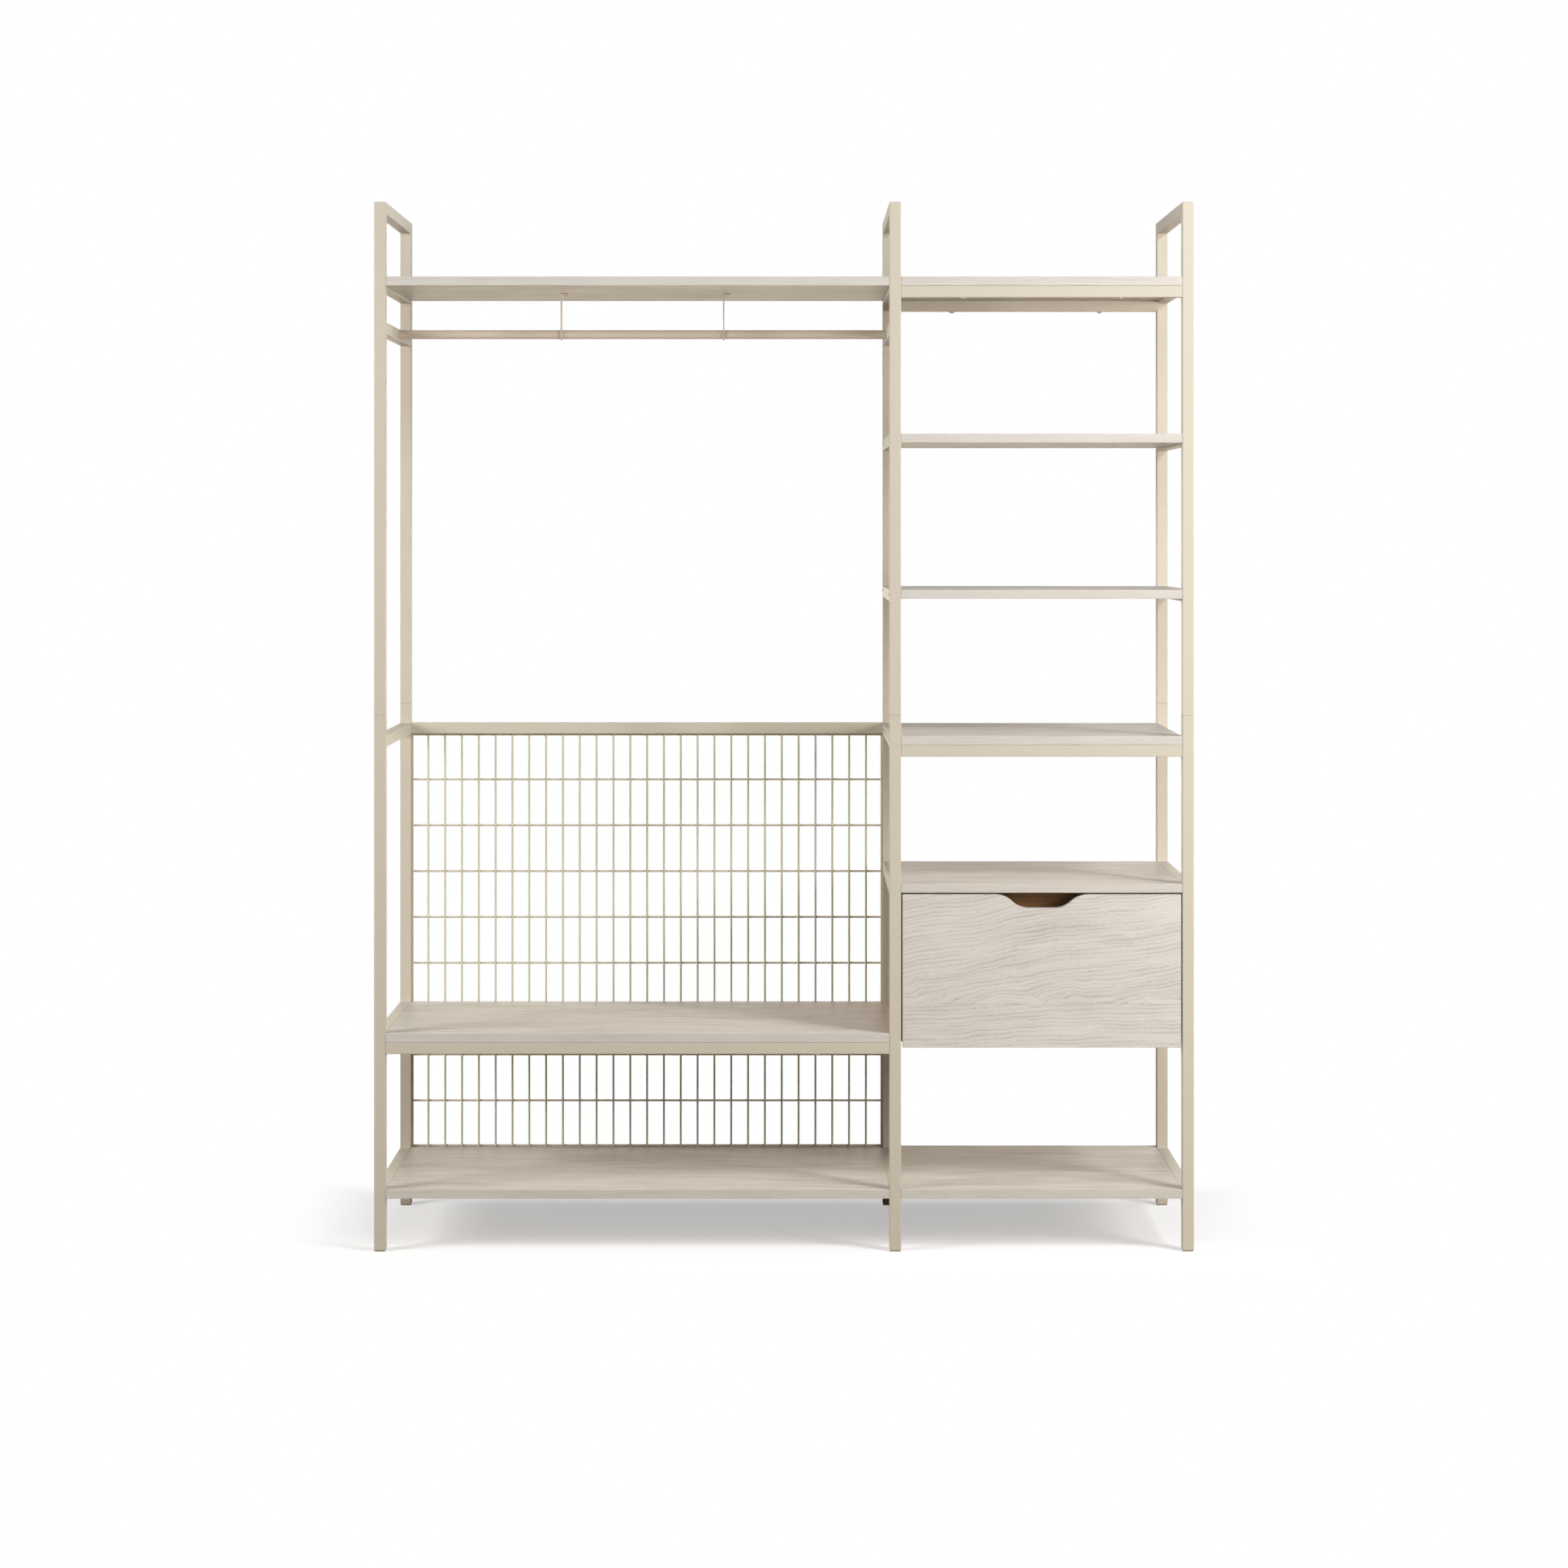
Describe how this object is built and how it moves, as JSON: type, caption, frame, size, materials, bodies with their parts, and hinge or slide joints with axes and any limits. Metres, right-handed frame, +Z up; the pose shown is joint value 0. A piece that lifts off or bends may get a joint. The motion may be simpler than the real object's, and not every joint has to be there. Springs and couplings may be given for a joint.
{
  "type": "open frame wardrobe",
  "caption": "Open wardrobe of square tube with pale boards: a wide bay with hanging rod, bench and wire grid, beside a narrow bay of shelves over a drawer with a scooped grip.",
  "frame": {"origin": "on the floor, midway between the sides and midway between front and back", "axes": "+X to the right seen from the front, -Y towards the user, +Z up"},
  "size_m": [1.562, 0.45, 2],
  "materials": {
    "coated_steel": "satin",
    "pale_oak": "matte",
    "brown_wood": "matte",
    "zinc": "satin",
    "sleeve_steel": "satin",
    "runner_steel": "satin",
    "glide_plastic": "matte"
  },
  "bodies": {
    "wardrobe": {"frame_left_lower": "coated_steel", "frame_left_upper": "coated_steel", "frame_middle_lower": "coated_steel", "frame_middle_upper": "coated_steel", "frame_right_lower": "coated_steel", "frame_right_upper": "coated_steel", "rail_shelf_4_front": "coated_steel", "rail_shelf_4_rear": "coated_steel", "rail_grid_top": "coated_steel", "rail_top_front": "coated_steel", "rail_top_rear": "coated_steel", "rail_bench_front": "coated_steel", "hanging_rod": "coated_steel", "rod_hanger_left": "coated_steel", "rod_hanger_right": "coated_steel", "wire_grid": "coated_steel", "board_bottom_left": "pale_oak", "board_bottom_right": "pale_oak", "board_top_left": "pale_oak", "board_top_right": "pale_oak", "board_shelf_2": "pale_oak", "board_shelf_3": "pale_oak", "board_shelf_4": "pale_oak", "board_shelf_5": "pale_oak", "board_bench": "pale_oak", "case_side_left": "brown_wood", "case_side_right": "brown_wood", "case_rail_front": "brown_wood", "case_rail_rear": "brown_wood", "screw_top_front_left": "zinc", "screw_top_front_right": "zinc", "screw_top_rear_left": "zinc", "screw_top_rear_right": "zinc", "screw_bench_left": "zinc", "screw_bench_right": "zinc", "sleeve_left_front": "sleeve_steel", "sleeve_left_rear": "sleeve_steel", "sleeve_middle_front": "sleeve_steel", "sleeve_middle_rear": "sleeve_steel", "sleeve_right_front": "sleeve_steel", "sleeve_right_rear": "sleeve_steel", "runner_outer_left": "runner_steel", "runner_outer_right": "runner_steel", "glide_left_front": "glide_plastic", "glide_left_rear": "glide_plastic", "glide_middle_front": "glide_plastic", "glide_middle_rear": "glide_plastic", "glide_right_front": "glide_plastic", "glide_right_rear": "glide_plastic"},
    "drawer": {"drawer_front": "pale_oak", "drawer_side_left": "brown_wood", "drawer_side_right": "brown_wood", "drawer_back": "brown_wood", "drawer_bottom": "brown_wood", "runner_inner_left": "runner_steel", "runner_inner_right": "runner_steel"},
    "runner_left": {"runner_middle_left": "runner_steel"},
    "runner_right": {"runner_middle_right": "runner_steel"}
  },
  "joints": [
    {"name": "drawer_slide", "type": "slide", "parent": "wardrobe", "child": "drawer", "axis": [0, -1, 0], "range_m": [0, 0.3]},
    {"name": "runner_left_slide", "type": "slide", "parent": "wardrobe", "child": "runner_left", "axis": [0, -1, 0], "range_m": [0, 0.15]},
    {"name": "runner_right_slide", "type": "slide", "parent": "wardrobe", "child": "runner_right", "axis": [0, -1, 0], "range_m": [0, 0.15]}
  ],
  "couplings": [
    {"joint": "runner_left_slide", "follows": "drawer_slide", "ratio": 0.5},
    {"joint": "runner_right_slide", "follows": "drawer_slide", "ratio": 0.5}
  ]
}
